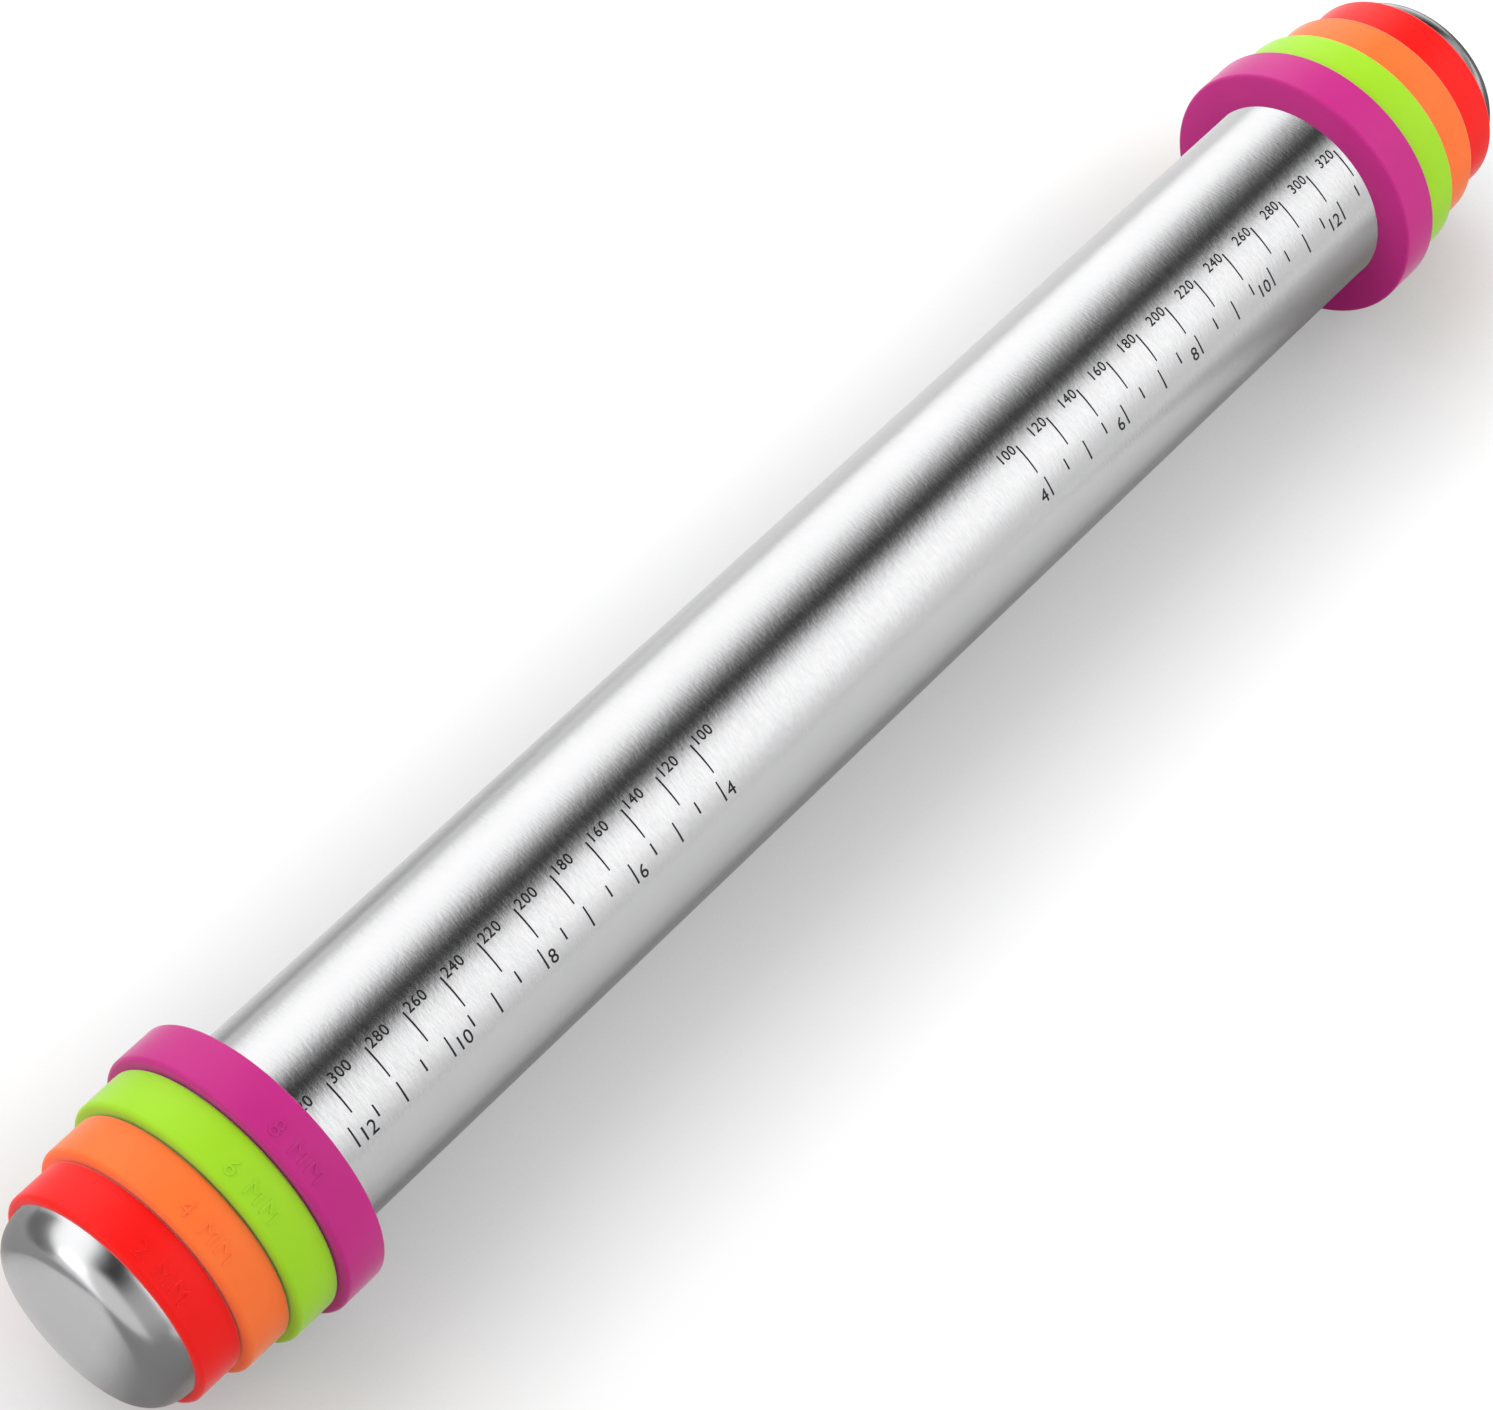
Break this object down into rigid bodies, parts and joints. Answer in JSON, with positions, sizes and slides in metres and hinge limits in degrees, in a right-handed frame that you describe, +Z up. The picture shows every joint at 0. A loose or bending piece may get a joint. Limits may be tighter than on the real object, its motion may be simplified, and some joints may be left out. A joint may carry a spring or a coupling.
{
  "type": "adjustable rolling pin",
  "caption": "Hollow steel rolling pin with closed dished ends and slip-on silicone rings that set how thick the dough is rolled.",
  "frame": {"origin": "on the barrel's axis, halfway between the two end caps", "axes": "+X along the barrel, towards the end that is farther away in the picture (called right); +Z up from the table"},
  "size_m": [0.419, 0.0604, 0.0604],
  "materials": {
    "brushed_steel": "brushed round the barrel, fine grain",
    "satin_steel": "satin, polished smoother than the barrel",
    "silicone_magenta": "matte moulded silicone",
    "silicone_green": "matte moulded silicone",
    "silicone_orange": "matte moulded silicone",
    "silicone_red": "matte moulded silicone"
  },
  "bodies": {
    "barrel": {"barrel_tube": "brushed_steel", "end_cap_left": "satin_steel", "end_cap_right": "satin_steel"},
    "left_8mm_ring": {"ring_8mm_left": "silicone_magenta"},
    "left_6mm_ring": {"ring_6mm_left": "silicone_green"},
    "left_4mm_ring": {"ring_4mm_left": "silicone_orange"},
    "left_2mm_ring": {"ring_2mm_left": "silicone_red"},
    "right_8mm_ring": {"ring_8mm_right": "silicone_magenta"},
    "right_6mm_ring": {"ring_6mm_right": "silicone_green"},
    "right_4mm_ring": {"ring_4mm_right": "silicone_orange"},
    "right_2mm_ring": {"ring_2mm_right": "silicone_red"}
  },
  "joints": [
    {"name": "left_8mm_slide", "type": "slide", "parent": "barrel", "child": "left_8mm_ring", "axis": [-1, 0, 0], "range_m": [-0.155, 0.0542]},
    {"name": "left_6mm_slide", "type": "slide", "parent": "left_8mm_ring", "child": "left_6mm_ring", "axis": [-1, 0, 0], "range_m": [0, 0.0439]},
    {"name": "left_4mm_slide", "type": "slide", "parent": "left_6mm_ring", "child": "left_4mm_ring", "axis": [-1, 0, 0], "range_m": [0, 0.0336]},
    {"name": "left_2mm_slide", "type": "slide", "parent": "left_4mm_ring", "child": "left_2mm_ring", "axis": [-1, 0, 0], "range_m": [0, 0.0233]},
    {"name": "right_8mm_slide", "type": "slide", "parent": "barrel", "child": "right_8mm_ring", "axis": [1, 0, 0], "range_m": [-0.155, 0.0542]},
    {"name": "right_6mm_slide", "type": "slide", "parent": "right_8mm_ring", "child": "right_6mm_ring", "axis": [1, 0, 0], "range_m": [0, 0.0439]},
    {"name": "right_4mm_slide", "type": "slide", "parent": "right_6mm_ring", "child": "right_4mm_ring", "axis": [1, 0, 0], "range_m": [0, 0.0336]},
    {"name": "right_2mm_slide", "type": "slide", "parent": "right_4mm_ring", "child": "right_2mm_ring", "axis": [1, 0, 0], "range_m": [0, 0.0233]}
  ]
}
